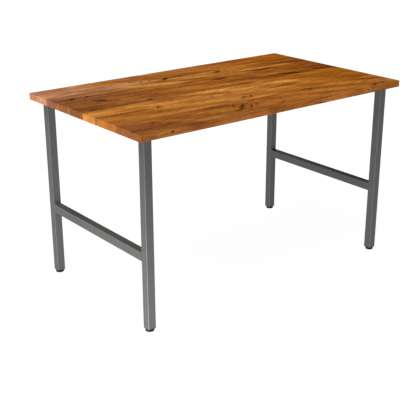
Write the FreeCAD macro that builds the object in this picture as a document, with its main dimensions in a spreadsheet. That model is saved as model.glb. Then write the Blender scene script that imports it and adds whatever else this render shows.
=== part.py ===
import FreeCAD, Part
import math
import os
import Sketcher

# A work desk: a solid top of seven glued boards, screwed down on two welded H-frames of
# square steel tube, each leg of which ends in a screw-adjustable levelling foot.
# The origin is on the floor under the middle of the top. X runs along the desk's width,
# the front edge faces -Y, and Z is up. All sizes are in millimetres.

SIZES = {
    # the whole desk
    "desk_width": 1250,
    "desk_depth": 730,
    "desk_height": 730,
    # the top; each glue joint is measured from the rear edge
    "top_thickness": 25,
    "edge_rounding": 1,
    "joint_1": 129,
    "joint_2": 217,
    "joint_3": 307,
    "joint_4": 384,
    "joint_5": 464,
    "joint_6": 589,
    # the welded frames
    "side_inset": 36,
    "end_inset": 35,
    "tube_size": 32,
    "tube_wall": 1.5,
    "tube_corner": 2,
    "tube_end_height": 11,
    "rail_top_height": 294,
    "plate_width": 75,
    "plate_thickness": 5,
    "weld_leg": 4,
    "weld_run": 24,
    # the screws that hold the top, in slots that let the wood swell and shrink
    "slot_pitch": 135,
    "slot_inset": 53.5,
    "slot_width": 7,
    "slot_length": 16,
    "washer_radius": 9,
    "washer_thickness": 1.5,
    "screw_radius": 3,
    "screw_grip": 18,
    "screw_tip": 3,
    "screw_head_radius": 6,
    "screw_head_height": 4,
    "screw_socket": 4,
    "screw_socket_depth": 2.2,
    # the nylon plug in the end of each leg, with a steel nut moulded in
    "plug_lip": 1.5,
    "plug_depth": 24,
    "plug_bore_radius": 5.6,
    "plug_core_radius": 2.4,
    "plug_core_offset": 10.2,
    "plug_core_depth": 20,
    "nut_width": 16,
    "nut_height": 8,
    "nut_level": 3,
    # the levelling foot: an M10 stud that turns in a base which stays still on the floor
    "thread_radius": 5,
    "running_gap": 0.05,
    "stud_top": 45,
    "stud_chamfer": 1,
    "rivet_bottom": 1,
    "rivet_radius": 6,
    "rivet_top": 2.2,
    "neck_radius": 4,
    "foot_radius": 16,
    "base_height": 4.5,
    "base_rounding": 0.8,
    "recess_radius": 6.4,
    "recess_height": 2.3,
    "knob_bottom": 4.6,
    "knob_rounding": 0.6,
    "flute_radius": 1.5,
    "flute_depth": 0.6,
}

BOARD_COUNT = 7
SCREWS_PER_PLATE = 5
FLUTES = 18
SIDES = {"left": -1, "right": 1}
ENDS = {"front": -1, "rear": 1}

# formulas that several pieces share
POST_X = "(Sizes.desk_width / 2 - Sizes.side_inset - Sizes.tube_size / 2)"
POST_Y = "(Sizes.desk_depth / 2 - Sizes.end_inset - Sizes.tube_size / 2)"
TOP_BOTTOM = "(Sizes.desk_height - Sizes.top_thickness)"
PLATE_BOTTOM = f"({TOP_BOTTOM} - Sizes.plate_thickness)"
RAIL_LENGTH = f"(2 * {POST_Y} - Sizes.tube_size)"
RAIL_BOTTOM = "(Sizes.rail_top_height - Sizes.tube_size)"
SLOT_X = "(Sizes.desk_width / 2 - Sizes.side_inset - Sizes.slot_inset)"
FIRST_SLOT_Y = f"(-Sizes.slot_pitch * {(SCREWS_PER_PLATE - 1) / 2})"
KNOB_TOP = "(Sizes.tube_end_height - Sizes.plug_lip)"

# what Sketcher calls the root point, and the points of a line, an arc or a circle
ORIGIN = -1
START = 1
END = 2
CENTRE = 3

document = FreeCAD.newDocument("desk")
sheet = document.addObject("Spreadsheet::Sheet", "Sizes")
for row, (name, size) in enumerate(SIZES.items(), start=1):
    sheet.set(f"A{row}", name)
    sheet.set(f"B{row}", str(size))
    sheet.setAlias(f"B{row}", name)
document.recompute()

parts = []


def value(formula):
    """The number that a formula of spreadsheet cells gives now."""
    return float(sheet.evalExpression(formula))


def new_body(label):
    body = document.addObject("PartDesign::Body", label)
    body.Label = label
    parts.append(body)
    return body


def place(body, x="0", y="0", z="0"):
    for axis, formula in zip("xyz", (x, y, z)):
        body.setExpression(f".Placement.Base.{axis}", formula)


def origin_feature(body, role):
    return next(feature for feature in body.Origin.OriginFeatures if feature.Role == role)


def new_sketch(body, plane, name, offset="0"):
    """A sketch on one of the body's own planes, moved along that plane's normal."""
    sketch = body.newObject("Sketcher::SketchObject", name)
    sketch.AttachmentSupport = [(origin_feature(body, plane), "")]
    sketch.MapMode = "FlatFace"
    sketch.setExpression(".AttachmentOffset.Base.z", offset)
    return sketch


def fix_point(sketch, geometry, point, x, y):
    for kind, formula in (("DistanceX", x), ("DistanceY", y)):
        rule = Sketcher.Constraint(kind, ORIGIN, START, geometry, point, value(formula))
        number = sketch.addConstraint(rule)
        sketch.setExpression(f"Constraints[{number}]", formula)


def fix_radius(sketch, geometry, radius):
    number = sketch.addConstraint(Sketcher.Constraint("Radius", geometry, value(radius)))
    sketch.setExpression(f"Constraints[{number}]", radius)


def draw_outline(sketch, corners):
    """A closed loop of lines through corners that are pairs of formulas."""
    points = [FreeCAD.Vector(value(x), value(y), 0) for x, y in corners]
    lines = []
    for start, end in zip(points, points[1:] + points[:1]):
        lines.append(sketch.addGeometry(Part.LineSegment(start, end), False))
    for line, following in zip(lines, lines[1:] + lines[:1]):
        sketch.addConstraint(Sketcher.Constraint("Coincident", line, END, following, START))
    for line, (x, y) in zip(lines, corners):
        fix_point(sketch, line, START, x, y)


def draw_rectangle(sketch, low_x, high_x, low_y, high_y):
    corners = [(low_x, low_y), (high_x, low_y), (high_x, high_y), (low_x, high_y)]
    draw_outline(sketch, corners)


def draw_square(sketch, side):
    draw_rectangle(sketch, f"-{side} / 2", f"{side} / 2", f"-{side} / 2", f"{side} / 2")


def draw_hexagon(sketch, width):
    """A hexagon given by its width across the flats, which face the X axis."""
    flat = f"{width} / 2"
    half_side = f"{width} / (2 * sqrt(3))"
    point = f"{width} / sqrt(3)"
    upper = [(flat, half_side), ("0", point), (f"-{flat}", half_side)]
    lower = [(f"-{flat}", f"-{half_side}"), ("0", f"-{point}"), (flat, f"-{half_side}")]
    draw_outline(sketch, upper + lower)


def draw_circle(sketch, radius, x="0", y="0"):
    centre = FreeCAD.Vector(value(x), value(y), 0)
    circle = Part.Circle(centre, FreeCAD.Vector(0, 0, 1), value(radius))
    geometry = sketch.addGeometry(circle, False)
    fix_point(sketch, geometry, CENTRE, x, y)
    fix_radius(sketch, geometry, radius)


def draw_slot(sketch, length, width, x, y):
    """A round-ended slot along the sketch's vertical axis, centred at x, y."""
    radius = f"({width} / 2)"
    reach = f"(({length} - {width}) / 2)"
    centres = [(x, f"{y} + {reach}"), (x, f"{y} - {reach}")]
    arcs = []
    for (centre_x, centre_y), start_angle in zip(centres, (0, math.pi)):
        centre = FreeCAD.Vector(value(centre_x), value(centre_y), 0)
        circle = Part.Circle(centre, FreeCAD.Vector(0, 0, 1), value(radius))
        arc = Part.ArcOfCircle(circle, start_angle, start_angle + math.pi)
        arcs.append(sketch.addGeometry(arc, False))
    for this, other in (arcs, arcs[::-1]):
        side = Part.LineSegment(sketch.Geometry[this].EndPoint, sketch.Geometry[other].StartPoint)
        line = sketch.addGeometry(side, False)
        sketch.addConstraint(Sketcher.Constraint("Tangent", this, END, line, START))
        sketch.addConstraint(Sketcher.Constraint("Tangent", line, END, other, START))
    sketch.addConstraint(Sketcher.Constraint("Equal", *arcs))
    fix_radius(sketch, arcs[0], radius)
    for arc, (centre_x, centre_y) in zip(arcs, centres):
        fix_point(sketch, arc, CENTRE, centre_x, centre_y)


def pad(body, sketch, length, down=False, both_ways=False):
    feature = body.newObject("PartDesign::Pad", f"{sketch.Name}_pad")
    feature.Profile = sketch
    feature.Reversed = down
    feature.SideType = "Symmetric" if both_ways else "One side"
    feature.setExpression("Length", length)
    return feature


def pocket(body, sketch, depth):
    """Cuts upwards from the sketch, and checks that it did cut."""
    document.recompute()
    before = body.Shape.Volume
    feature = body.newObject("PartDesign::Pocket", f"{sketch.Name}_pocket")
    feature.Profile = sketch
    feature.Reversed = True
    feature.setExpression("Length", depth)
    document.recompute()
    if body.Shape.Volume >= before:
        raise RuntimeError(f"{feature.Name} cuts nothing")
    return feature


def revolve(body, sketch):
    """Turns a sketch on the XZ plane about the body's Z axis."""
    feature = body.newObject("PartDesign::Revolution", f"{sketch.Name}_turned")
    feature.Profile = sketch
    feature.ReferenceAxis = (sketch, ["V_Axis"])
    feature.Angle = 360
    return feature


def is_upright(edge):
    low, high = edge.BoundBox.ZMin, edge.BoundBox.ZMax
    return len(edge.Vertexes) == 2 and abs(edge.Length - (high - low)) < 1e-6


def round_edges(body, radius, wanted):
    """Rounds every edge of the body's last feature for which wanted(edge) is true."""
    document.recompute()
    base = body.Tip
    names = [f"Edge{i}" for i, edge in enumerate(base.Shape.Edges, start=1) if wanted(edge)]
    feature = body.newObject("PartDesign::Fillet", f"{base.Name}_rounding")
    feature.Base = (base, names)
    feature.setExpression("Radius", radius)


def repeat_along_y(body, features, pitch, count):
    pattern = body.newObject("PartDesign::LinearPattern", f"{body.Name}_row")
    pattern.Originals = features
    pattern.Direction = (origin_feature(body, "Y_Axis"), [""])
    pattern.Mode = "Spacing"
    pattern.setExpression("Offset", pitch)
    pattern.Occurrences = count
    body.Tip = pattern


# ---- the top -----------------------------------------------------------------------------


def joint_y(number):
    """Where a glue joint lies; 0 is the rear edge and the last one the front edge."""
    if number == 0:
        return "(Sizes.desk_depth / 2)"
    if number == BOARD_COUNT:
        return "(-Sizes.desk_depth / 2)"
    return f"(Sizes.desk_depth / 2 - Sizes.joint_{number})"


def screw_rows_on_board(number):
    rear, front = value(joint_y(number - 1)), value(joint_y(number))
    rows = [f"({FIRST_SLOT_Y} + {row} * Sizes.slot_pitch)" for row in range(SCREWS_PER_PLATE)]
    return [row for row in rows if front < value(row) < rear]


def make_board(number):
    """One board, eased along the top's outer edges and drilled from below for screws."""
    body = new_body(f"tabletop_board_{number}")
    place(body, z=TOP_BOTTOM)
    rear, front = joint_y(number - 1), joint_y(number)
    outline = new_sketch(body, "XY_Plane", f"board_{number}_outline")
    draw_rectangle(outline, "-Sizes.desk_width / 2", "Sizes.desk_width / 2", front, rear)
    pad(body, outline, "Sizes.top_thickness")

    half_width, half_depth = value("Sizes.desk_width / 2"), value("Sizes.desk_depth / 2")

    def on_outer_edge(edge):
        middle = edge.BoundBox.Center
        on_end = abs(abs(middle.x) - half_width) < 1e-6 and not is_upright(edge)
        on_side = abs(abs(middle.y) - half_depth) < 1e-6
        return on_end or on_side

    round_edges(body, "Sizes.edge_rounding", on_outer_edge)
    rows = screw_rows_on_board(number)
    if rows:
        drilling = new_sketch(body, "XY_Plane", f"board_{number}_drilling")
        for side in SIDES.values():
            for row in rows:
                draw_circle(drilling, "Sizes.screw_radius", f"{side} * {SLOT_X}", row)
        pocket(body, drilling, "Sizes.screw_grip")


# ---- the welded frames -------------------------------------------------------------------


def make_tube(label, length):
    """A length of square tube standing on the body's XY plane."""
    body = new_body(label)
    outside = new_sketch(body, "XY_Plane", f"{label}_outside")
    draw_square(outside, "Sizes.tube_size")
    pad(body, outside, length)
    round_edges(body, "Sizes.tube_corner", is_upright)
    inside = new_sketch(body, "XY_Plane", f"{label}_inside")
    draw_square(inside, "(Sizes.tube_size - 2 * Sizes.tube_wall)")
    pocket(body, inside, length)
    inner_half = value("Sizes.tube_size / 2 - Sizes.tube_wall")

    def is_inner_corner(edge):
        middle = edge.BoundBox.Center
        return is_upright(edge) and max(abs(middle.x), abs(middle.y)) < inner_half + 1e-6

    round_edges(body, "Sizes.tube_corner - Sizes.tube_wall", is_inner_corner)
    return body


def make_post(side, end):
    post = make_tube(f"{side}_{end}_post", f"{PLATE_BOTTOM} - Sizes.tube_end_height")
    place(post, f"{SIDES[side]} * {POST_X}", f"{ENDS[end]} * {POST_Y}", "Sizes.tube_end_height")


def make_lower_rail(side):
    """A tube that lies along Y between the two posts of one frame."""
    rail = make_tube(f"{side}_lower_rail", RAIL_LENGTH)
    rail.Placement.Rotation = FreeCAD.Rotation(FreeCAD.Vector(1, 0, 0), -90)
    middle_height = "Sizes.rail_top_height - Sizes.tube_size / 2"
    place(rail, f"{SIDES[side]} * {POST_X}", f"-{RAIL_LENGTH} / 2", middle_height)


def make_top_plate(side):
    """A flat bar across both posts, flush with their outer faces, slotted for screws."""
    sign = SIDES[side]
    body = new_body(f"{side}_top_plate")
    place(body, f"{sign} * {POST_X}", "0", PLATE_BOTTOM)
    outer = f"{sign} * Sizes.tube_size / 2"
    inner = f"{sign} * (Sizes.tube_size / 2 - Sizes.plate_width)"
    half_length = f"({POST_Y} + Sizes.tube_size / 2)"
    outline = new_sketch(body, "XY_Plane", f"{side}_plate_outline")
    draw_rectangle(outline, inner, outer, f"-{half_length}", half_length)
    pad(body, outline, "Sizes.plate_thickness")
    round_edges(body, "Sizes.tube_corner", is_upright)
    slot = new_sketch(body, "XY_Plane", f"{side}_plate_slot")
    slot_x = f"{sign} * (Sizes.tube_size / 2 - Sizes.slot_inset)"
    draw_slot(slot, "Sizes.slot_length", "Sizes.slot_width", slot_x, FIRST_SLOT_Y)
    first_slot = pocket(body, slot, "Sizes.plate_thickness")
    repeat_along_y(body, [first_slot], "Sizes.slot_pitch", SCREWS_PER_PLATE)


def make_rail_welds(side):
    """Four fillet beads: above and below the rail, at each of its two ends."""
    body = new_body(f"{side}_rail_welds")
    place(body, f"{SIDES[side]} * {POST_X}")
    beads = new_sketch(body, "YZ_Plane", f"{side}_rail_beads")
    for end in ENDS.values():
        face = f"{end} * {RAIL_LENGTH} / 2"
        toe = f"{end} * ({RAIL_LENGTH} / 2 - Sizes.weld_leg)"
        for level, sign in (("Sizes.rail_top_height", "+"), (RAIL_BOTTOM, "-")):
            corners = [(face, level), (toe, level), (face, f"{level} {sign} Sizes.weld_leg")]
            draw_outline(beads, corners)
    pad(body, beads, "Sizes.weld_run", both_ways=True)


def make_plate_welds(side):
    """Fillet beads under the top plate, on the two inward faces of each post."""
    body = new_body(f"{side}_plate_welds")
    place(body, f"{SIDES[side]} * {POST_X}", "0", PLATE_BOTTOM)
    lengthwise = new_sketch(body, "YZ_Plane", f"{side}_plate_beads_y")
    for end in ENDS.values():
        face = f"{end} * {RAIL_LENGTH} / 2"
        toe = f"{end} * ({RAIL_LENGTH} / 2 - Sizes.weld_leg)"
        draw_outline(lengthwise, [(face, "0"), (toe, "0"), (face, "-Sizes.weld_leg")])
    pad(body, lengthwise, "Sizes.weld_run", both_ways=True)
    inward = -SIDES[side]
    face = f"{inward} * Sizes.tube_size / 2"
    toe = f"{inward} * (Sizes.tube_size / 2 + Sizes.weld_leg)"
    for end, sign in ENDS.items():
        crosswise = new_sketch(body, "XZ_Plane", f"{side}_{end}_plate_bead_x", f"-{sign} * {POST_Y}")
        draw_outline(crosswise, [(face, "0"), (toe, "0"), (face, "-Sizes.weld_leg")])
        pad(body, crosswise, "Sizes.weld_run", both_ways=True)


# ---- the fasteners under the top ---------------------------------------------------------


def make_washers(side):
    body = new_body(f"{side}_top_washers")
    level = f"{PLATE_BOTTOM} - Sizes.washer_thickness"
    place(body, f"{SIDES[side]} * {SLOT_X}", FIRST_SLOT_Y, level)
    ring = new_sketch(body, "XY_Plane", f"{side}_washer_ring")
    draw_circle(ring, "Sizes.washer_radius")
    draw_circle(ring, "Sizes.screw_radius")
    washer = pad(body, ring, "Sizes.washer_thickness")
    repeat_along_y(body, [washer], "Sizes.slot_pitch", SCREWS_PER_PLATE)


def make_screws(side):
    """Pan-head screws whose heads bear on the washers; Z = 0 is the bearing face."""
    body = new_body(f"{side}_top_screws")
    level = f"{PLATE_BOTTOM} - Sizes.washer_thickness"
    place(body, f"{SIDES[side]} * {SLOT_X}", FIRST_SLOT_Y, level)
    length = "(Sizes.washer_thickness + Sizes.plate_thickness + Sizes.screw_grip)"
    half_profile = new_sketch(body, "XZ_Plane", f"{side}_screw_profile")
    draw_outline(half_profile, [
        ("0", "-Sizes.screw_head_height"),
        ("Sizes.screw_head_radius * 0.75", "-Sizes.screw_head_height"),
        ("Sizes.screw_head_radius", "-Sizes.screw_head_height / 2"),
        ("Sizes.screw_head_radius", "0"),
        ("Sizes.screw_radius", "0"),
        ("Sizes.screw_radius", f"{length} - Sizes.screw_tip"),
        ("0", length),
    ])
    screw = revolve(body, half_profile)
    socket = new_sketch(body, "XY_Plane", f"{side}_screw_socket", "-Sizes.screw_head_height")
    draw_hexagon(socket, "Sizes.screw_socket")
    recess = pocket(body, socket, "Sizes.screw_socket_depth")
    repeat_along_y(body, [screw, recess], "Sizes.slot_pitch", SCREWS_PER_PLATE)


# ---- the levelling feet ------------------------------------------------------------------


def place_on_leg(body, side, end, height="0"):
    place(body, f"{SIDES[side]} * {POST_X}", f"{ENDS[end]} * {POST_Y}", height)


def make_tube_plug(side, end):
    """A nylon plug that fills the end of the leg; Z = 0 is the cut end of the tube."""
    label = f"{side}_{end}_tube_plug"
    body = new_body(label)
    place_on_leg(body, side, end, "Sizes.tube_end_height")
    lip = new_sketch(body, "XY_Plane", f"{label}_lip")
    draw_square(lip, "Sizes.tube_size")
    pad(body, lip, "Sizes.plug_lip", down=True)
    round_edges(body, "Sizes.tube_corner", is_upright)
    shank = new_sketch(body, "XY_Plane", f"{label}_shank")
    draw_square(shank, "(Sizes.tube_size - 2 * Sizes.tube_wall)")
    pad(body, shank, "Sizes.plug_depth")
    round_edges(body, "Sizes.tube_corner - Sizes.tube_wall",
                lambda edge: is_upright(edge) and edge.BoundBox.ZMin > -1e-6)
    bore = new_sketch(body, "XY_Plane", f"{label}_bore", "-Sizes.plug_lip")
    draw_circle(bore, "Sizes.plug_bore_radius")
    pocket(body, bore, "Sizes.plug_lip + Sizes.plug_depth")
    nut_seat = new_sketch(body, "XY_Plane", f"{label}_nut_seat", "Sizes.nut_level")
    draw_hexagon(nut_seat, "Sizes.nut_width")
    pocket(body, nut_seat, "Sizes.nut_height")
    core_bottom = "Sizes.plug_depth - Sizes.plug_core_depth"
    cores = new_sketch(body, "XY_Plane", f"{label}_cores", core_bottom)
    for x_sign in (-1, 1):
        for y_sign in (-1, 1):
            x, y = f"{x_sign} * Sizes.plug_core_offset", f"{y_sign} * Sizes.plug_core_offset"
            draw_circle(cores, "Sizes.plug_core_radius", x, y)
    pocket(body, cores, "Sizes.plug_core_depth")


def make_insert_nut(side, end):
    label = f"{side}_{end}_insert_nut"
    body = new_body(label)
    place_on_leg(body, side, end, "Sizes.tube_end_height + Sizes.nut_level")
    section = new_sketch(body, "XY_Plane", f"{label}_section")
    draw_hexagon(section, "Sizes.nut_width")
    draw_circle(section, "Sizes.thread_radius + Sizes.running_gap")
    pad(body, section, "Sizes.nut_height")


def make_foot_stud(side, end):
    """The threaded stud, riveted over inside the base so that it turns there."""
    label = f"{side}_{end}_foot_stud"
    body = new_body(label)
    place_on_leg(body, side, end)
    half_profile = new_sketch(body, "XZ_Plane", f"{label}_profile")
    draw_outline(half_profile, [
        ("0", "Sizes.rivet_bottom"),
        ("Sizes.rivet_radius", "Sizes.rivet_bottom"),
        ("Sizes.rivet_radius", "Sizes.rivet_top"),
        ("Sizes.neck_radius", "Sizes.rivet_top"),
        ("Sizes.neck_radius", "Sizes.knob_bottom"),
        ("Sizes.thread_radius", "Sizes.knob_bottom"),
        ("Sizes.thread_radius", "Sizes.stud_top - Sizes.stud_chamfer"),
        ("Sizes.thread_radius - Sizes.stud_chamfer", "Sizes.stud_top"),
        ("0", "Sizes.stud_top"),
    ])
    revolve(body, half_profile)


def make_foot_knob(side, end):
    """The fluted collar moulded on the stud, turned by hand to set the height."""
    label = f"{side}_{end}_foot_knob"
    body = new_body(label)
    place_on_leg(body, side, end)
    half_profile = new_sketch(body, "XZ_Plane", f"{label}_profile")
    draw_outline(half_profile, [
        ("Sizes.thread_radius", "Sizes.knob_bottom"),
        ("Sizes.foot_radius - Sizes.knob_rounding", "Sizes.knob_bottom"),
        ("Sizes.foot_radius", "Sizes.knob_bottom + Sizes.knob_rounding"),
        ("Sizes.foot_radius", f"{KNOB_TOP} - Sizes.knob_rounding"),
        ("Sizes.foot_radius - Sizes.knob_rounding", KNOB_TOP),
        ("Sizes.thread_radius", KNOB_TOP),
    ])
    revolve(body, half_profile)
    flute = new_sketch(body, "XY_Plane", f"{label}_flute", "Sizes.knob_bottom")
    flute_x = "Sizes.foot_radius + Sizes.flute_radius - Sizes.flute_depth"
    draw_circle(flute, "Sizes.flute_radius", flute_x)
    groove = pocket(body, flute, f"{KNOB_TOP} - Sizes.knob_bottom")
    ring = body.newObject("PartDesign::PolarPattern", f"{label}_flutes")
    ring.Originals = [groove]
    ring.Axis = (origin_feature(body, "Z_Axis"), [""])
    ring.Angle = 360
    ring.Occurrences = FLUTES
    body.Tip = ring


def make_foot_base(side, end):
    """The disc that stands on the floor, recessed below for the riveted stud end."""
    label = f"{side}_{end}_foot_base"
    body = new_body(label)
    place_on_leg(body, side, end)
    half_profile = new_sketch(body, "XZ_Plane", f"{label}_profile")
    neck_hole = "Sizes.neck_radius + Sizes.running_gap"
    draw_outline(half_profile, [
        ("Sizes.recess_radius", "0"),
        ("Sizes.foot_radius - Sizes.base_rounding", "0"),
        ("Sizes.foot_radius", "Sizes.base_rounding"),
        ("Sizes.foot_radius", "Sizes.base_height - Sizes.knob_rounding"),
        ("Sizes.foot_radius - Sizes.knob_rounding", "Sizes.base_height"),
        (neck_hole, "Sizes.base_height"),
        (neck_hole, "Sizes.recess_height"),
        ("Sizes.recess_radius", "Sizes.recess_height"),
    ])
    revolve(body, half_profile)


for board_number in range(1, BOARD_COUNT + 1):
    make_board(board_number)

for side_name in SIDES:
    make_lower_rail(side_name)
    make_top_plate(side_name)
    make_rail_welds(side_name)
    make_plate_welds(side_name)
    make_washers(side_name)
    make_screws(side_name)
    for end_name in ENDS:
        make_post(side_name, end_name)
        make_tube_plug(side_name, end_name)
        make_insert_nut(side_name, end_name)
        make_foot_stud(side_name, end_name)
        make_foot_knob(side_name, end_name)
        make_foot_base(side_name, end_name)

document.recompute()

for item in document.Objects:
    if "Invalid" in item.State or "Error" in item.State:
        raise RuntimeError(f"{item.Name} could not be computed: {item.State}")
for part in parts:
    if part.Shape.isNull() or not part.Shape.isValid():
        raise RuntimeError(f"{part.Label} has no valid shape")

os.makedirs("parts", exist_ok=True)
for part in parts:
    part.Shape.exportStep(f"parts/{part.Label}.step")
    solids = len(part.Shape.Solids)
    print(f"{part.Label}: {solids} solid(s), {part.Shape.Volume / 1000:.2f} cm3")
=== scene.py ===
import math

import bpy
import numpy as np
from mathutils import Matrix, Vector


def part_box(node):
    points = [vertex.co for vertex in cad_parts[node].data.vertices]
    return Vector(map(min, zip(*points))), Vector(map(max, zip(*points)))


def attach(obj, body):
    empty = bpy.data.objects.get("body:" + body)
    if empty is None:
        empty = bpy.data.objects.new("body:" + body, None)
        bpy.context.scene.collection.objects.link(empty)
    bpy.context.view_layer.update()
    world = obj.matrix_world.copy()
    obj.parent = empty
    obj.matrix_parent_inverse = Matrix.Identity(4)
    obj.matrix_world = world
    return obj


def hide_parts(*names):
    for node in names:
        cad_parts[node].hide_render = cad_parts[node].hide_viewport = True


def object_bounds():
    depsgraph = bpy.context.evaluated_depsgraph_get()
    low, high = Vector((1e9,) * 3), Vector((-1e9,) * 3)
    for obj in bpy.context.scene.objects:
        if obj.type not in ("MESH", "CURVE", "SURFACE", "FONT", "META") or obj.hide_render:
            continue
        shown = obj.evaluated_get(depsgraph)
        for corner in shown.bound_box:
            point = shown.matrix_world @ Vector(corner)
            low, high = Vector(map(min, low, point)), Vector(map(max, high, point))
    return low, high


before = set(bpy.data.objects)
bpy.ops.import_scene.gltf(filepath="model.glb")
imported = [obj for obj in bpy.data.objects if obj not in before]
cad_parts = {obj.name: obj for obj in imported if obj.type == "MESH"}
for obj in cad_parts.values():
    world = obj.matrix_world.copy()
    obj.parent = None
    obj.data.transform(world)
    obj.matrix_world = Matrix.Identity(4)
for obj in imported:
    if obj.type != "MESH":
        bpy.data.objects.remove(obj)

# A plank-topped desk on welded H-frames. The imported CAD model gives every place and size;
# this script adds the visible surfaces, their materials, the light and the camera.
# Lengths are in metres, +X runs along the desk's width and the front edge faces -Y.

cad_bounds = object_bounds()

BOARDS = 7
SIDES = ("left", "right")
LEGS = [f"{side}_{end}" for side in SIDES for end in ("front", "rear")]
ROUND_STEPS = 48


# ---- mesh helpers ------------------------------------------------------------------------


def new_piece(name, points, faces, material, body, replaced, smooth_angle=40):
    """A mesh object that rides on a CAD body and stands for the CAD nodes it replaces."""
    mesh = bpy.data.meshes.new(name)
    mesh.from_pydata([tuple(point) for point in points], [], [tuple(map(int, face)) for face in faces])
    mesh.validate()
    mesh.shade_smooth()
    mesh.set_sharp_from_angle(angle=math.radians(smooth_angle))
    mesh.materials.append(material)
    piece = bpy.data.objects.new(name, mesh)
    bpy.context.scene.collection.objects.link(piece)
    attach(piece, body)
    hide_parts(*replaced)
    return piece


def keep_flats_flat(piece):
    """Lets large flat faces set the normals that they share with small rounded ones."""
    weighting = piece.modifiers.new("flat faces first", "WEIGHTED_NORMAL")
    weighting.mode = "FACE_AREA"
    weighting.weight = 100
    weighting.keep_sharp = True


def loft(loops, closed=False):
    """Skins a list of loops that all have the same number of points; open ends are capped."""
    loops = np.asarray(loops, float)
    count, size = loops.shape[:2]
    ids = np.arange(count * size).reshape(count, size)
    faces = []
    for row in range(count if closed else count - 1):
        low, high = ids[row], ids[(row + 1) % count]
        for a in range(size):
            b = (a + 1) % size
            faces.append((low[a], low[b], high[b], high[a]))
    if not closed:
        faces.append(tuple(ids[0][::-1]))
        faces.append(tuple(ids[-1]))
    return loops.reshape(-1, 3), faces


def join(parts):
    """Several (points, faces) pairs as one."""
    points, faces, offset = [], [], 0
    for part_points, part_faces in parts:
        points.append(np.asarray(part_points, float))
        faces += [tuple(index + offset for index in face) for face in part_faces]
        offset += len(part_points)
    return np.concatenate(points), faces


def circle(radius, z, steps=ROUND_STEPS):
    angles = np.arange(steps) * 2 * math.pi / steps
    return np.column_stack([radius * np.cos(angles), radius * np.sin(angles), np.full(steps, z)])


def hexagon(width, z):
    """A hexagon of that width across its flats, with as many points as a circle."""
    angles = np.arange(ROUND_STEPS) * 2 * math.pi / ROUND_STEPS
    to_flat = (angles + math.pi / 6) % (math.pi / 3) - math.pi / 6
    radius = width / 2 / np.cos(to_flat)
    return np.column_stack([radius * np.cos(angles), radius * np.sin(angles), np.full(ROUND_STEPS, z)])


def rounded_square(half, radius, z, steps):
    """A square with round corners, seen from above and listed anticlockwise."""
    points = []
    for corner in range(4):
        middle = (half - radius) * math.sqrt(2)
        turn = math.pi / 4 + corner * math.pi / 2
        cx, cy = middle * math.cos(turn), middle * math.sin(turn)
        for step in range(steps + 1):
            angle = corner * math.pi / 2 + step * math.pi / 2 / steps
            points.append((cx + radius * math.cos(angle), cy + radius * math.sin(angle), z))
    return np.array(points)


def box_shell(xs, ys, zs):
    """The surface of a box cut by planes at those places, as points and outward quads."""
    shell = np.zeros((len(xs), len(ys), len(zs)), bool)
    shell[[0, -1]] = True
    shell[:, [0, -1]] = True
    shell[:, :, [0, -1]] = True
    ids = np.full(shell.shape, -1)
    ids[shell] = np.arange(shell.sum())
    i, j, k = np.nonzero(shell)
    points = np.column_stack([xs[i], ys[j], zs[k]])
    quads = []
    for axis in range(3):
        for end in (0, -1):
            layer = ids.take(end, axis=axis)
            corners = (layer[:-1, :-1], layer[1:, :-1], layer[1:, 1:], layer[:-1, 1:])
            sheet = np.stack(corners, axis=-1).reshape(-1, 4)
            inward = (end == 0) != (axis == 1)
            quads.append(sheet[:, ::-1] if inward else sheet)
    return points, np.concatenate(quads)


def spread(low, high, step, rounding_low, rounding_high):
    """Places from low to high about a step apart, with three more in each rounded edge."""
    start = low + rounding_low
    stop = high - rounding_high
    inner = np.linspace(start, stop, max(2, round((stop - start) / step) + 1))
    shares = np.array([0, 0.3, 0.65])
    before = low + shares * rounding_low if rounding_low else []
    after = high - shares[::-1] * rounding_high if rounding_high else []
    return np.concatenate([before, inner, after])


# ---- node helpers ------------------------------------------------------------------------


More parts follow.
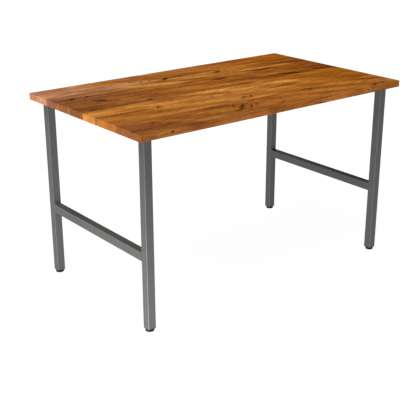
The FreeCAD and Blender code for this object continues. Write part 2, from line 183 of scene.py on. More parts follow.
class Nodes:
    """A material's node tree, with short calls for the nodes that this script uses."""

    def __init__(self, name):
        self.material = bpy.data.materials.new(name)
        self.material.use_nodes = True
        self.tree = self.material.node_tree
        self.shader = self.tree.nodes["Principled BSDF"]

    def link(self, source, target):
        self.tree.links.new(source, target)

    def put(self, target, value):
        if isinstance(value, bpy.types.NodeSocket):
            self.link(value, target)
        else:
            target.default_value = value

    def attribute(self, name, output="Fac"):
        node = self.tree.nodes.new("ShaderNodeAttribute")
        node.attribute_name = name
        return node.outputs[output]

    def coordinates(self):
        return self.tree.nodes.new("ShaderNodeTexCoord").outputs["Object"]

    def stretch(self, vector, scale):
        node = self.tree.nodes.new("ShaderNodeMapping")
        node.inputs["Scale"].default_value = scale
        self.link(vector, node.inputs["Vector"])
        return node.outputs["Vector"]

    def noise(self, vector, scale=1.0, detail=3.0, roughness=0.5):
        node = self.tree.nodes.new("ShaderNodeTexNoise")
        node.inputs["Scale"].default_value = scale
        node.inputs["Detail"].default_value = detail
        node.inputs["Roughness"].default_value = roughness
        self.link(vector, node.inputs["Vector"])
        return node.outputs["Fac"]

    def part(self, vector, axis):
        node = self.tree.nodes.new("ShaderNodeSeparateXYZ")
        self.link(vector, node.inputs[0])
        return node.outputs[axis]

    def math(self, operation, first, second=0.0):
        node = self.tree.nodes.new("ShaderNodeMath")
        node.operation = operation
        self.put(node.inputs[0], first)
        self.put(node.inputs[1], second)
        return node.outputs[0]

    def ramp(self, value, low, high, to_low=0.0, to_high=1.0):
        """Maps low..high to to_low..to_high with soft ends."""
        node = self.tree.nodes.new("ShaderNodeMapRange")
        node.interpolation_type = "SMOOTHSTEP"
        limits = {"From Min": low, "From Max": high, "To Min": to_low, "To Max": to_high}
        for name, number in limits.items():
            node.inputs[name].default_value = number
        self.link(value, node.inputs["Value"])
        return node.outputs["Result"]

    def mix(self, kind, share, first, second):
        node = self.tree.nodes.new("ShaderNodeMix")
        node.data_type = "RGBA"
        node.blend_type = kind
        # a mix node keeps its colour sockets behind those of its other kinds
        for place, value in ((0, share), (6, first), (7, second)):
            self.put(node.inputs[place], value)
        return node.outputs[2]

    def bump(self, height, strength, distance):
        node = self.tree.nodes.new("ShaderNodeBump")
        node.inputs["Strength"].default_value = strength
        node.inputs["Distance"].default_value = distance
        self.link(height, node.inputs["Height"])
        return node.outputs["Normal"]


# ---- the wooden top ----------------------------------------------------------------------

# colours of oiled hardwood, linear; the two pinkish ones are the wood's tone with a painted sheen mixed in
TONES = {
    "rose": (0.56, 0.27, 0.135),
    "plum": (0.29, 0.108, 0.045),
    "honey": (0.53, 0.212, 0.038),
    "amber": (0.41, 0.144, 0.020),
    "chestnut": (0.275, 0.092, 0.019),
    "copper": (0.385, 0.118, 0.0025),
    "rust": (0.28, 0.078, 0.0018),
    "umber": (0.170, 0.043, 0.0022),
}

# each board's colour at its left end, its middle and its right end, rear board first
BOARD_TONES = [
    # the two rear boards start at their left ends with the pinkish tones that hold a painted sheen
    "rose amber copper",
    "plum honey rust",
    "chestnut amber rust",
    "chestnut amber umber",
    "honey honey copper",
    "amber honey copper",
    "chestnut amber amber",
]

# the width and depth of the top that the knots' places below are given for
DRAWN_TOP = (1.25, 0.73)

# knots and checks, placed after the photograph, from the middle of the top:
# x, y, half length, half width, turn in degrees, darkness
KNOTS = [
    (-0.556, 0.174, 0.019, 0.008, 35, 1.0),
    (-0.490, 0.174, 0.016, 0.005, 35, 0.7),
    (-0.475, 0.093, 0.030, 0.011, -40, 0.7),
    (-0.565, 0.002, 0.018, 0.007, 0, 0.7),
    (-0.329, 0.000, 0.010, 0.008, 60, 0.9),
    (-0.371, -0.108, 0.013, 0.006, 50, 0.9),
    (-0.406, -0.170, 0.010, 0.005, 30, 0.7),
    (-0.502, -0.267, 0.010, 0.005, 60, 0.6),
    (-0.368, 0.267, 0.009, 0.004, 20, 0.8),
    (-0.325, 0.270, 0.007, 0.004, 30, 0.7),
    (-0.238, 0.267, 0.010, 0.004, 40, 0.8),
    (-0.220, 0.275, 0.007, 0.004, 30, 0.8),
    (-0.195, 0.252, 0.009, 0.004, 20, 0.8),
    (-0.157, 0.250, 0.008, 0.004, 30, 0.8),
    (-0.085, 0.243, 0.022, 0.008, 40, 1.0),
    (-0.020, 0.250, 0.024, 0.005, 5, 0.8),
    (0.158, 0.214, 0.022, 0.010, 15, 1.0),
    (0.202, 0.223, 0.018, 0.004, 10, 0.7),
    (0.088, 0.104, 0.028, 0.009, 0, 0.9),
    (0.325, 0.133, 0.030, 0.008, -8, 0.95),
    (0.365, 0.139, 0.024, 0.008, 10, 0.95),
    (0.355, 0.020, 0.026, 0.008, -30, 0.85),
    (0.388, 0.002, 0.030, 0.009, -20, 0.9),
    (-0.040, -0.188, 0.020, 0.005, 35, 0.85),
    (-0.018, -0.200, 0.010, 0.004, -20, 0.85),
    (-0.004, -0.184, 0.012, 0.004, 55, 0.8),
    (-0.170, -0.318, 0.028, 0.005, 20, 0.95),
    (-0.132, -0.285, 0.034, 0.006, 45, 1.0),
    (-0.106, -0.304, 0.018, 0.004, 45, 0.9),
    (-0.155, -0.262, 0.018, 0.004, 65, 0.85),
    (-0.096, -0.262, 0.016, 0.004, 25, 0.8),
    (-0.152, -0.304, 0.013, 0.004, 80, 0.85),
    (-0.068, -0.290, 0.012, 0.004, 70, 0.8),
    (0.210, -0.240, 0.017, 0.005, -35, 0.7),
    (0.242, -0.238, 0.018, 0.005, -20, 0.9),
    (0.226, -0.260, 0.015, 0.005, 15, 0.85),
    (0.021, -0.329, 0.008, 0.004, 60, 0.7),
    (0.495, -0.348, 0.020, 0.005, 30, 0.85),
    (0.516, -0.338, 0.014, 0.004, -15, 0.8),
    (0.550, -0.338, 0.014, 0.005, 0, 0.8),
]

# knots on the front face: x, depth below the top face, half length, half height, turn, darkness
FACE_KNOTS = [
    (-0.498, 0.0105, 0.009, 0.004, 10, 1.0),
    (-0.0125, 0.0195, 0.006, 0.0035, 60, 0.9),
    (0.190, 0.0230, 0.022, 0.004, 5, 0.9),
    (0.440, 0.0110, 0.008, 0.004, 40, 0.7),
]

WOOD_STEP = 0.0025
EDGE_ROUNDING = 0.001
BOARD_SEED = 100
WAVE_ACROSS = 0.12
SURFACE = 1e-6


def board_limits(number):
    low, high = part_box(f"tabletop_board_{number}")
    return np.array(low), np.array(high)


def top_scale():
    """The width and depth of the frame's top as shares of the drawn top's."""
    low, high = cad_bounds
    return (high[0] - low[0]) / DRAWN_TOP[0], (high[1] - low[1]) / DRAWN_TOP[1]


def ripple(points, rng, count, length, height):
    """A smooth random field: waves of about that length along the grain, and short across it."""
    field = np.zeros(len(points))
    for _ in range(count):
        along = 2 * math.pi / (length * rng.uniform(0.5, 1.5))
        across = 2 * math.pi / (WAVE_ACROSS * rng.uniform(0.4, 1.5))
        phase = along * points[:, 0] + across * points[:, 1] + rng.uniform(0, 2 * math.pi)
        field += np.sin(phase + across * 0.5 * points[:, 2])
    return field * height / count


def spot_distance(points, x, y, half_length, half_width, turn):
    """Distances from a spot's middle along and across it, as shares of its half sizes."""
    cos, sin = math.cos(math.radians(turn)), math.sin(math.radians(turn))
    dx, dy = points[:, 0] - x, points[:, 1] - y
    return (dx * cos + dy * sin) / half_length, (dy * cos - dx * sin) / half_width


def growth_rings(number, points, rng):
    """Distance from the pith, which runs below the board and wanders along it."""
    low, high = board_limits(number)
    x, y, z = points.T
    pith_y = (low[1] + high[1]) / 2 + rng.uniform(-0.06, 0.06)
    pith_y = pith_y + 0.012 * np.sin(3.1 * x + rng.uniform(0, 6))
    pith_z = high[2] - rng.uniform(0.05, 0.12) + 0.014 * np.sin(2.3 * x + rng.uniform(0, 6))
    return np.hypot(y - pith_y, z - pith_z) + ripple(points, rng, 6, 0.9, 0.004)


def grain_fields(number, points):
    """A board's grain coordinates, its knots and its broad colour, at each point."""
    rng = np.random.default_rng(BOARD_SEED + number)
    low, high = board_limits(number)
    x, y, z = points.T
    ring = growth_rings(number, points, rng)

    stations = np.array([TONES[tone] for tone in BOARD_TONES[number - 1].split()])
    place = (x - low[0]) / (high[0] - low[0]) * (len(stations) - 1)
    place += ripple(points, rng, 5, 0.7, 0.6) + ripple(points, rng, 6, 0.12, 0.35)
    place = np.clip(place, 0, len(stations) - 1.001)
    before = place.astype(int)
    share = place - before
    share = (share * share * (3 - 2 * share))[:, None]
    tone = stations[before] * (1 - share) + stations[before + 1] * share

    brightness = 1 + ripple(points, rng, 9, 0.35, 0.6)
    knot = np.zeros(len(points))
    core = 0.7
    fade = 1 - 0.5 * (high[2] - z) / (high[2] - low[2])
    width_scale, depth_scale = top_scale()
    near_joint = 0.01
    for drawn_x, drawn_y, half_length, half_width, turn, darkness in KNOTS:
        knot_x, knot_y = drawn_x * width_scale, drawn_y * depth_scale
        if not low[1] - near_joint < knot_y < high[1] + near_joint:
            continue
        along, across = spot_distance(points, knot_x, knot_y, half_length, half_width, turn)
        knot = np.maximum(knot, darkness * fade * np.exp(-core * (along ** 2 + across ** 2)))
        # the rings swell round a knot, and its stain trails along the board
        ring += 1.3 * half_width * np.exp(-(along / 2) ** 2 - (across / 2.5) ** 2)
        trail_x, trail_y = (x - knot_x) / (2.6 * half_length), (y - knot_y) / (1.2 * half_width)
        brightness *= 1 - 0.25 * darkness * np.exp(-trail_x ** 2 - trail_y ** 2)
    if number == BOARDS:
        front = y < low[1] + EDGE_ROUNDING / 2
        face = np.column_stack([x, high[2] - z])
        for drawn_x, *spot, darkness in FACE_KNOTS:
            along, across = spot_distance(face, drawn_x * width_scale, *spot)
            reach = along ** 2 + across ** 2
            knot = np.maximum(knot, front * darkness * np.exp(-core * reach))
            brightness *= 1 + 0.4 * front * np.exp(-reach / 6)

    grain = np.column_stack([x + ripple(points, rng, 3, 1.2, 0.02), ring, y * 0.5 + z])
    grain += rng.uniform(0, 5, 3) * (1, 0, 1)
    return grain, knot, tone * brightness[:, None] ** (1, 1.3, 1.6)


def wood_material():
    nodes = Nodes("oiled_wood")
    grain = nodes.attribute("grain", "Vector")
    knot = nodes.attribute("knot")
    tone = nodes.attribute("tone", "Color")
    end = nodes.attribute("end")

    bands = nodes.noise(nodes.stretch(grain, (2.2, 75, 75)), detail=5, roughness=0.62)
    streaks = nodes.noise(nodes.stretch(grain, (5, 260, 260)), detail=3, roughness=0.55)
    saw_marks = nodes.noise(nodes.stretch(nodes.coordinates(), (0, 240, 8)), detail=3, roughness=0.7)
    drift = nodes.noise(nodes.stretch(grain, (1.6, 45, 45)), detail=2)
    ring_width = 0.0034
    ring_count = nodes.math("MULTIPLY", nodes.part(grain, 1), 1 / ring_width)
    ring_count = nodes.math("ADD", ring_count, nodes.math("MULTIPLY", drift, 3.0))
    ring_age = nodes.math("FRACT", ring_count)
    growing, stopping = nodes.ramp(ring_age, 0.25, 0.9), nodes.ramp(ring_age, 0.92, 1.0, 1, 0)
    late_wood = nodes.math("MULTIPLY", growing, stopping)
    flecks = nodes.noise(nodes.stretch(grain, (38, 190, 190)), detail=3, roughness=0.7)
    fibres = nodes.noise(nodes.stretch(grain, (14, 900, 900)), detail=3, roughness=0.6)
    pores = nodes.ramp(nodes.noise(nodes.stretch(grain, (45, 2400, 2400)), detail=2), 0.62, 0.72)
    tear = nodes.noise(nodes.stretch(grain, (70, 330, 330)), detail=4, roughness=0.6)
    ragged = nodes.math("ADD", knot, nodes.ramp(tear, 0.3, 0.7, -0.28, 0.28))
    knot_heart = nodes.ramp(ragged, 0.44, 0.86)
    knot_halo = nodes.ramp(ragged, 0.05, 0.55)

    lengthwise = nodes.ramp(end, 0, 1, 1, 0.25)
    dark = (0.60, 0.47, 0.36, 1)
    light = (1.30, 1.40, 1.55, 1)
    colour = tone
    for pattern, share, contrast in (
        (bands, lengthwise, 0.75),
        (streaks, lengthwise, 0.75),
        (flecks, lengthwise, 0.65),
        (saw_marks, end, 0.9),
    ):
        darker = nodes.math("MULTIPLY", share, nodes.ramp(pattern, 0.5, 0.68, 0, contrast))
        lighter = nodes.math("MULTIPLY", share, nodes.ramp(pattern, 0.47, 0.31, 0, contrast))
        colour = nodes.mix("MULTIPLY", darker, colour, dark)
        colour = nodes.mix("MULTIPLY", lighter, colour, light)
    colour = nodes.mix("MULTIPLY", nodes.math("MULTIPLY", late_wood, 0.4), colour, dark)
    colour = nodes.mix("MULTIPLY", nodes.ramp(fibres, 0.35, 0.75, 0, 0.5), colour, (0.7, 0.62, 0.55, 1))
    colour = nodes.mix("MULTIPLY", nodes.math("MULTIPLY", pores, 0.5), colour, (0.5, 0.42, 0.36, 1))
    colour = nodes.mix("MULTIPLY", nodes.math("MULTIPLY", knot_halo, 0.8), colour, (0.5, 0.36, 0.26, 1))
    colour = nodes.mix("MIX", nodes.math("MULTIPLY", knot_heart, 0.85), colour, (0.030, 0.013, 0.006, 1))
    nodes.link(colour, nodes.shader.inputs["Base Color"])

    nodes.link(nodes.ramp(fibres, 0.3, 0.8, 0.40, 0.52), nodes.shader.inputs["Roughness"])
    nodes.shader.inputs["Specular IOR Level"].default_value = 0.06
    relief = nodes.math("MULTIPLY", late_wood, 0.5)
    relief = nodes.math("ADD", relief, nodes.math("MULTIPLY", fibres, 0.5))
    relief = nodes.math("SUBTRACT", relief, pores)
    relief = nodes.math("SUBTRACT", relief, nodes.math("MULTIPLY", knot_heart, 1.5))
    nodes.link(nodes.bump(relief, 0.25, 0.0003), nodes.shader.inputs["Normal"])
    return nodes.material


def add_board(number, material):
    """One board as a fine shell, with its wood's figure in the attributes of its points."""
    low, high = board_limits(number)
    rear_edge = EDGE_ROUNDING if number == 1 else 0
    front_edge = EDGE_ROUNDING if number == BOARDS else 0
    margin_low = np.array([EDGE_ROUNDING, front_edge, EDGE_ROUNDING])
    margin_high = np.array([EDGE_ROUNDING, rear_edge, EDGE_ROUNDING])
    cuts = [
        spread(low[axis], high[axis], WOOD_STEP, margin_low[axis], margin_high[axis]) for axis in range(3)
    ]
    points, quads = box_shell(*cuts)
    inner = np.clip(points, low + margin_low, high - margin_high)
    outward = points - inner
    length = np.linalg.norm(outward, axis=1, keepdims=True)
    points = np.where(length > 0, inner + outward / np.maximum(length, 1e-9) * EDGE_ROUNDING, points)
    grain, knot, tone = grain_fields(number, points)
    on_top = points[:, 2] > high[2] - SURFACE
    sunk = 0.0004
    points[:, 2] -= on_top * sunk * np.clip(knot * 1.6 - 0.6, 0, 1)
    name = f"top_board_{number}"
    piece = new_piece(name, points, quads, material, "desk", [f"tabletop_board_{number}"])
    for label, kind, key, values in (
        ("grain", "FLOAT_VECTOR", "vector", grain),
        ("knot", "FLOAT", "value", knot),
        ("end", "FLOAT", "value", np.abs(points[:, 0]) > high[0] - SURFACE),
        ("tone", "FLOAT_COLOR", "color", np.column_stack([tone, np.ones(len(tone))])),
    ):
        attribute = piece.data.attributes.new(label, kind, "POINT")
        attribute.data.foreach_set(key, values.astype(np.float32).ravel())


# ---- the welded frames -------------------------------------------------------------------

TUBE_CORNER = 0.002
TUBE_WALL = 0.0015
CUT_EDGE = 0.0004
WELD_LEG = 0.004
WELD_RUN = 0.024
PLATE_WELD_SEED = 10


def steel_material():
    nodes = Nodes("gunmetal_coating")
    place = nodes.coordinates()
    cloud = nodes.noise(nodes.stretch(place, (5, 5, 3)), detail=4)
    speckle = nodes.noise(place, scale=900, detail=2)
    peel = nodes.noise(place, scale=420, detail=2)
    corner_patches = nodes.noise(place, scale=25, detail=3)
    # the rounded corners are painted lighter: partly worn coating, partly a painted highlight along each
    # corner
    corner_wear_and_highlight = nodes.math("MULTIPLY", nodes.attribute("corner"), nodes.ramp(corner_patches, 0.3, 0.65, 0.7, 1.0))
    darker, lighter = (0.065, 0.066, 0.063, 1), (0.081, 0.082, 0.078, 1)
    colour = nodes.mix("MIX", nodes.ramp(cloud, 0.3, 0.7), darker, lighter)
    colour = nodes.mix("MULTIPLY", nodes.ramp(speckle, 0.45, 0.75, 0, 0.5), colour, (0.72, 0.73, 0.74, 1))
    # painted highlight and wear: the corners are mixed towards a light grey
    colour = nodes.mix("MIX", nodes.math("MULTIPLY", corner_wear_and_highlight, 0.72), colour, (0.21, 0.22, 0.22, 1))
    nodes.link(colour, nodes.shader.inputs["Base Color"])
    nodes.shader.inputs["Metallic"].default_value = 0.3
    roughness = nodes.ramp(cloud, 0.3, 0.75, 0.42, 0.52)
    roughness = nodes.math("ADD", roughness, nodes.math("MULTIPLY", corner_wear_and_highlight, 0.35))
    nodes.link(roughness, nodes.shader.inputs["Roughness"])
    nodes.link(nodes.bump(peel, 0.12, 0.0003), nodes.shader.inputs["Normal"])
    return nodes.material


def tube_mesh(length, half):
    """A square tube that stands on z = 0, its cut ends eased; also tells where its corners are."""
    steps = 8
    inner = half - TUBE_WALL
    inner_corner = TUBE_CORNER - TUBE_WALL
    loops = [
        rounded_square(half - CUT_EDGE, TUBE_CORNER - CUT_EDGE, 0, steps),
        rounded_square(half, TUBE_CORNER, CUT_EDGE, steps),
        rounded_square(half, TUBE_CORNER, length - CUT_EDGE, steps),
        rounded_square(half - CUT_EDGE, TUBE_CORNER - CUT_EDGE, length, steps),
        rounded_square(inner, inner_corner, length, steps),
        rounded_square(inner, inner_corner, 0, steps),
    ]
    on_corner = np.tile(np.sin(np.linspace(0, math.pi, steps + 1)), 4)
    outside = np.array([1, 1, 1, 1, 0, 0])
    points, faces = loft(loops, closed=True)
    return points, faces, np.outer(outside, on_corner).ravel()


def add_tube(name, points, faces, corner, material, replaced):
    """A steel tube piece, with the places of its corners as an attribute for the corner wear and painted
    highlight.
    """
    tube = new_piece(name, points, faces, material, "desk", [replaced])
    values = corner.astype(np.float32)
    tube.data.attributes.new("corner", "FLOAT", "POINT").data.foreach_set("value", values)
    keep_flats_flat(tube)


def add_post(leg, material):
    low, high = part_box(f"{leg}_post")
    points, faces, corner = tube_mesh(high.z - low.z, (high.x - low.x) / 2)
    points += ((low.x + high.x) / 2, (low.y + high.y) / 2, low.z)
    add_tube(f"{leg}_leg_tube", points, faces, corner, material, f"{leg}_post")


def add_rail(side, material):
    low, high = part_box(f"{side}_lower_rail")
    points, faces, corner = tube_mesh(high.y - low.y, (high.x - low.x) / 2)
    points = points[:, [0, 2, 1]] * (1, 1, -1)
    points += ((low.x + high.x) / 2, low.y, (low.z + high.z) / 2)
    add_tube(f"{side}_rail_tube", points, faces, corner, material, f"{side}_lower_rail")


def bead(middle, along, outward, upward, seed):
    """A fillet weld: a bead in the corner between two faces, with the welder's crescent ripples."""
    rng = np.random.default_rng(seed)
    middle, along = np.array(middle, float), np.array(along, float)
    outward, upward = np.array(outward, float), np.array(upward, float)
    ripple_length = 0.0016
    lag = 0.0012
    taper = 0.0035
    waver = rng.uniform(0, 6)
    loops = []
    for place in np.linspace(-WELD_RUN / 2, WELD_RUN / 2, 121):
        to_end = (WELD_RUN / 2 - abs(place)) / taper
        size = WELD_LEG * (0.35 + 0.60 * math.sqrt(min(1, to_end)))
        size *= 0.95 + 0.05 * math.sin(700 * place + waver)
        corner = middle + along * place
        loop = [corner]
        for angle in np.linspace(0, math.pi / 2, 11):
            behind = place + lag * math.sin(2 * angle)
            ripple = (behind / ripple_length + 0.15 * math.sin(900 * place + waver)) % 1
            reach = size * (0.80 + 0.17 * math.cos(2 * angle) ** 2 + 0.03 * ripple)
            loop.append(corner + reach * (outward * math.cos(angle) + upward * math.sin(angle)))
        loops.append(loop)
    return loft(loops)


def add_welds(side, material):
    """Beads above and below each rail end, and on two sides of each leg under the flat bar."""
    outward = -1 if side == "left" else 1
    rail_low, rail_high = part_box(f"{side}_lower_rail")
    plate_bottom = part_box(f"{side}_top_plate")[0].z
    rail_beads, plate_beads = [], []
    for end, inward in (("front", 1), ("rear", -1)):
        low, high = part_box(f"{side}_{end}_post")
        x, y = (low.x + high.x) / 2, (low.y + high.y) / 2
        inner_y = high.y if inward > 0 else low.y
        inner_x = high.x if side == "left" else low.x
        for level, upward in ((rail_high.z, 1), (rail_low.z, -1)):
            seed = len(rail_beads)
            middle = (x, inner_y, level)
            rail_beads.append(bead(middle, (1, 0, 0), (0, inward, 0), (0, 0, upward), seed))
        seed = PLATE_WELD_SEED + len(plate_beads)
        middle = (x, inner_y, plate_bottom)
        plate_beads.append(bead(middle, (1, 0, 0), (0, inward, 0), (0, 0, -1), seed))
        middle = (inner_x, y, plate_bottom)
        plate_beads.append(bead(middle, (0, 1, 0), (-outward, 0, 0), (0, 0, -1), seed + 1))
    for name, beads in (("rail", rail_beads), ("plate", plate_beads)):
        points, faces = join(beads)
        new_piece(
            f"{side}_{name}_weld_beads", points, faces, material, "desk",
            [f"{side}_{name}_welds"], smooth_angle=70,
        )


# ---- fixings and feet --------------------------------------------------------------------

SCREWS_IN_BAR = 5
SCREW_RADIUS = 0.003
SCREW_PITCH = 0.0022
WASHER_HOLE_RADIUS = 0.0032
STUD_RADIUS = 0.005
STUD_PITCH = 0.0015
FLUTES = 18
FLUTE_DEPTH = 0.0006


def zinc_material():
    nodes = Nodes("zinc_plating")
    place = nodes.coordinates()
    cloud = nodes.noise(place, scale=180, detail=4)
    scratches = nodes.noise(nodes.stretch(place, (900, 900, 90)), detail=2)
    darker, lighter = (0.50, 0.50, 0.48, 1), (0.62, 0.62, 0.61, 1)
    colour = nodes.mix("MIX", nodes.ramp(cloud, 0.35, 0.65), darker, lighter)
    nodes.link(colour, nodes.shader.inputs["Base Color"])
    nodes.shader.inputs["Metallic"].default_value = 1.0
    nodes.link(nodes.ramp(scratches, 0.3, 0.7, 0.25, 0.42), nodes.shader.inputs["Roughness"])
    nodes.link(nodes.bump(scratches, 0.1, 0.0001), nodes.shader.inputs["Normal"])
    return nodes.material


def nylon_material():
    nodes = Nodes("black_nylon")
    place = nodes.coordinates()
    grit = nodes.noise(place, scale=2600, detail=2)
    dust = nodes.noise(place, scale=140, detail=4)
    clean, dusty = (0.006, 0.006, 0.006, 1), (0.016, 0.015, 0.014, 1)
    colour = nodes.mix("MIX", nodes.ramp(dust, 0.45, 0.8), clean, dusty)
    nodes.link(colour, nodes.shader.inputs["Base Color"])
    nodes.link(nodes.ramp(grit, 0.3, 0.7, 0.42, 0.6), nodes.shader.inputs["Roughness"])
    nodes.shader.inputs["Specular IOR Level"].default_value = 0.3
    nodes.link(nodes.bump(grit, 0.15, 0.0001), nodes.shader.inputs["Normal"])
    return nodes.material


def revolve(profile, steps):
    """A ring: a closed profile of radii and heights, turned round the Z axis."""
    return loft([circle(radius, z, steps) for radius, z in profile], closed=True)


def place_at(points, low, high):
    """Moves a shape made round the Z axis on to the middle of a box."""
    return points + ((low.x + high.x) / 2, (low.y + high.y) / 2, 0)


def thread_loops(radius, pitch, bottom, top):
    """Loops of a screw thread: each point's radius follows the helix past it."""
    depth = 0.61 * pitch
    turns = np.arange(ROUND_STEPS) / ROUND_STEPS
    loops = []
    for z in np.arange(bottom, top, pitch / 8):
        phase = (turns - z / pitch) % 1
        tooth = np.clip(1.25 - np.abs(phase - 0.5) * 2.5, 0, 1)
        loop = circle(1, z)
        loop[:, :2] *= (radius - depth * (1 - tooth))[:, None]
        loops.append(loop)
    return loops


def screw_mesh(low, high, plate_bottom):
    """A pan-head socket screw; its head is below, its wood thread above."""
    head_radius = 0.006
    socket_width, socket_depth = 0.004, 0.002
    washer_thickness = 0.0015
    plate_thickness = 0.005
    head_top = plate_bottom - washer_thickness
    loops = [
        hexagon(socket_width - 0.0004, low + socket_depth + 0.0002),
        hexagon(socket_width, low + socket_depth),
        hexagon(socket_width, low),
        circle(head_radius - 0.0012, low),
        circle(head_radius - 0.0004, low + 0.0005),
        circle(head_radius, low + 0.0014),
        circle(head_radius, head_top),
        circle(SCREW_RADIUS, head_top),
        circle(SCREW_RADIUS, plate_bottom + plate_thickness),
    ]
    thread_bottom = plate_bottom + plate_thickness + 0.001
    loops += thread_loops(SCREW_RADIUS, SCREW_PITCH, thread_bottom, high - 0.003)
    loops.append(circle(0.0006, high))
    return loft(loops)


def add_top_fixings(side, zinc):
    """Washers and screws, one pair at each slot of the plate."""
    low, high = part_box(f"{side}_top_screws")
    washer_low, washer_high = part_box(f"{side}_top_washers")
    x = (low.x + high.x) / 2
    washer_radius = (washer_high.x - washer_low.x) / 2
    ease = 0.0003
    profile = [
        (WASHER_HOLE_RADIUS, washer_low.z), (washer_radius - ease, washer_low.z),
        (washer_radius, washer_low.z + ease), (washer_radius, washer_high.z),
        (WASHER_HOLE_RADIUS, washer_high.z),
    ]
    screws, washers = [], []
    for y in np.linspace(washer_low.y + washer_radius, washer_high.y - washer_radius, SCREWS_IN_BAR):
        points, faces = screw_mesh(low.z, high.z, washer_high.z)
        screws.append((points + (x, y, 0), faces))
        points, faces = revolve(profile, 72)
        washers.append((points + (x, y, 0), faces))
    for name, parts in (("screws", screws), ("washers", washers)):
        points, faces = join(parts)
        new_piece(f"{side}_{name}", points, faces, zinc, "desk", [f"{side}_top_{name}"])


def fluted(radius, z, steps):
    """A circle with finger flutes."""
    loop = circle(1, z, steps)
    turn = np.arange(steps) / steps * FLUTES % 1
    flute = np.clip(1 - (np.abs(turn - 0.5) / 0.28) ** 2, 0, 1) ** 0.5
    loop[:, :2] *= (radius - FLUTE_DEPTH * flute)[:, None]
    return loop


def add_foot(leg, nylon, zinc):
    """The base disc, the stud that turns in it and the knob moulded on the stud."""
    low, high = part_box(f"{leg}_foot_base")
    radius = (high.x - low.x) / 2
    hole_radius, recess_radius, recess_top = 0.00405, 0.0064, 0.0023
    rounding = 0.0008
    turns = np.linspace(0, math.pi / 2, 6)
    edge = [
        (radius - rounding * (1 - math.sin(turn)), low.z + rounding * (1 - math.cos(turn))) for turn in turns
    ]
    chamfer = 0.0004
    top_edge = [(radius, high.z - chamfer), (radius - chamfer, high.z)]
    inside = [(hole_radius, high.z), (hole_radius, recess_top), (recess_radius, recess_top)]
    points, faces = revolve([(recess_radius, low.z)] + edge + top_edge + inside, 96)
    new_piece(
        f"{leg}_base_disc", place_at(points, low, high), faces, nylon, f"{leg}_base",
        [f"{leg}_foot_base"],
    )

    low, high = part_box(f"{leg}_foot_knob")
    radius = (high.x - low.x) / 2
    steps = 360
    loops = [
        circle(STUD_RADIUS, low.z, steps), fluted(radius - rounding, low.z, steps),
        fluted(radius - 0.0002, low.z + 0.0003, steps), fluted(radius, low.z + rounding, steps),
        fluted(radius, high.z - rounding, steps), fluted(radius - 0.0002, high.z - 0.0003, steps),
        fluted(radius - rounding, high.z, steps), circle(STUD_RADIUS, high.z, steps),
    ]
    points, faces = loft(loops, closed=True)
    new_piece(
        f"{leg}_fluted_knob", place_at(points, low, high), faces, nylon, f"{leg}_screw",
        [f"{leg}_foot_knob"],
    )

    low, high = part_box(f"{leg}_foot_stud")
    rivet_radius, rivet_top = 0.006, 0.0022
    neck_radius, neck_top, thread_bottom = 0.004, 0.0046, 0.0095
    loops = [
        circle(rivet_radius - 0.0008, low.z), circle(rivet_radius, low.z + 0.0005),
        circle(rivet_radius, rivet_top), circle(neck_radius, rivet_top),
        circle(neck_radius, neck_top), circle(STUD_RADIUS - 0.0001, neck_top),
    ]
    loops += thread_loops(STUD_RADIUS, STUD_PITCH, thread_bottom, high.z - 0.001)
    loops.append(circle(0.0039, high.z))
    points, faces = loft(loops)
    new_piece(
        f"{leg}_threaded_stud", place_at(points, low, high), faces, zinc, f"{leg}_screw",
        [f"{leg}_foot_stud"],
    )


def cover_cad_node(name, material):
    """Gives a CAD node that is used as it is its material."""
    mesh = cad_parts[name].data
    mesh.materials.clear()
    mesh.materials.append(material)


# ---- put together ------------------------------------------------------------------------


def add_floor():
    """A floor that glows by itself, so that it comes out as white as the backdrop."""
    nodes = Nodes("studio_floor")
    shade = nodes.noise(nodes.stretch(nodes.coordinates(), (0.4, 0.4, 1)), detail=2)
    colour = nodes.mix("MIX", shade, (0.07, 0.07, 0.069, 1), (0.09, 0.09, 0.088, 1))
    nodes.link(colour, nodes.shader.inputs["Base Color"])
    nodes.shader.inputs["Roughness"].default_value = 0.9
    nodes.shader.inputs["Specular IOR Level"].default_value = 0.0
    nodes.shader.inputs["Emission Color"].default_value = (1, 1, 1, 1)
    nodes.shader.inputs["Emission Strength"].default_value = 0.97
    size = 40
    corners = [(-size, -size, 0), (size, -size, 0), (size, size, 0), (-size, size, 0)]
    mesh = bpy.data.meshes.new("floor")
    mesh.from_pydata(corners, [], [(0, 1, 2, 3)])
    mesh.materials.append(nodes.material)
    floor = bpy.data.objects.new("floor", mesh)
    bpy.context.scene.collection.objects.link(floor)


def aim(light_object, target):
    """Turns a light so that it shines at the target."""
    direction = Vector(target) - light_object.location
    light_object.rotation_euler = direction.to_track_quat("-Z", "Y").to_euler()


def add_light(name, kind, energy, location, target, mirrored=True, **settings):
    """A light that the camera doesn't see; one that isn't mirrored gives no reflections either."""
    light = bpy.data.lights.new(name, kind)
    light.energy = energy
    for key, value in settings.items():
        setattr(light, key, value)
    light_object = bpy.data.objects.new(name, light)
    light_object.location = location
    light_object.visible_camera = False
    light_object.visible_glossy = mirrored
    aim(light_object, target)
    bpy.context.scene.collection.objects.link(light_object)


def studio_world():
    """A white backdrop for the camera, and a dim cool room for everything else."""
    world = bpy.data.worlds.new("studio")
    world.use_nodes = True
    tree = world.node_tree
    room = tree.nodes["Background"]
    room.inputs["Color"].default_value = (0.6, 0.8, 1.0, 1)
    room.inputs["Strength"].default_value = 0.05
    backdrop = tree.nodes.new("ShaderNodeBackground")
    backdrop.inputs["Color"].default_value = (1, 1, 1, 1)
    choice = tree.nodes.new("ShaderNodeMixShader")
    tree.links.new(tree.nodes.new("ShaderNodeLightPath").outputs["Is Camera Ray"], choice.inputs[0])
    tree.links.new(room.outputs[0], choice.inputs[1])
    tree.links.new(backdrop.outputs[0], choice.inputs[2])
    tree.links.new(choice.outputs[0], tree.nodes["World Output"].inputs["Surface"])
    return world


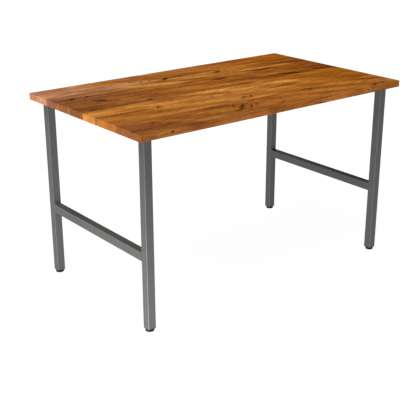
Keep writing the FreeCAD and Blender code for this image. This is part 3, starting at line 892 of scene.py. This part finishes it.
def add_lights():
    scene = bpy.context.scene
    scene.view_settings.view_transform = "Standard"
    scene.world = studio_world()
    add_light("key", "SUN", 3.7, (-2.0, -0.2, 4.0), (0, 0, 0), angle=math.radians(35))
    add_light(
        "front_fill", "AREA", 31, (-1.3, -4.0, 1.6), (0, 0, 0.5),
        shape="RECTANGLE", size=3.0, size_y=1.5,
    )
    add_light(
        "low_left", "AREA", 9.5, (-1.25, -0.40, 0.06), (-0.58, -0.05, 0.05), mirrored=False,
        shape="RECTANGLE", size=1.0, size_y=0.1,
    )
    add_light(
        "foot_card", "AREA", 4.2, (-0.82, -0.74, 0.03), (-0.57, -0.33, 0.04), mirrored=False,
        shape="RECTANGLE", size=0.3, size_y=0.05,
    )
    add_light(
        "low_right", "AREA", 4.5, (1.7, 1.3, 0.42), (0.57, 0.0, 0.30), color=(0.45, 0.72, 1.0),
        shape="RECTANGLE", size=1.8, size_y=0.5,
    )
    add_light(
        "rear_panel", "AREA", 22, (-0.6, 4.6, 1.7), (-0.6, 0.2, 0.7),
        shape="RECTANGLE", size=1.6, size_y=1.0,
    )


def add_camera():
    """The photograph's viewing angle, solved from the desk's own right angles."""
    below_level, right_of_ahead = 20.952, 38.776
    camera = bpy.data.cameras.new("camera")
    camera.lens = 75.30
    camera.sensor_width = 36
    camera_object = bpy.data.objects.new("camera", camera)
    camera_object.location = (-2.1059, -2.5480, 1.4931)
    camera_object.rotation_euler = (math.radians(90 - below_level), 0, -math.radians(right_of_ahead))
    bpy.context.scene.collection.objects.link(camera_object)
    bpy.context.scene.camera = camera_object


add_camera()
add_lights()
add_floor()
wood = wood_material()
steel = steel_material()
zinc = zinc_material()
nylon = nylon_material()
for board in range(1, BOARDS + 1):
    add_board(board, wood)
for side_name in SIDES:
    add_rail(side_name, steel)
    add_welds(side_name, steel)
    add_top_fixings(side_name, zinc)
    cover_cad_node(f"{side_name}_top_plate", steel)
for leg_name in LEGS:
    add_post(leg_name, steel)
    add_foot(leg_name, nylon, zinc)
    cover_cad_node(f"{leg_name}_tube_plug", nylon)
    cover_cad_node(f"{leg_name}_insert_nut", zinc)
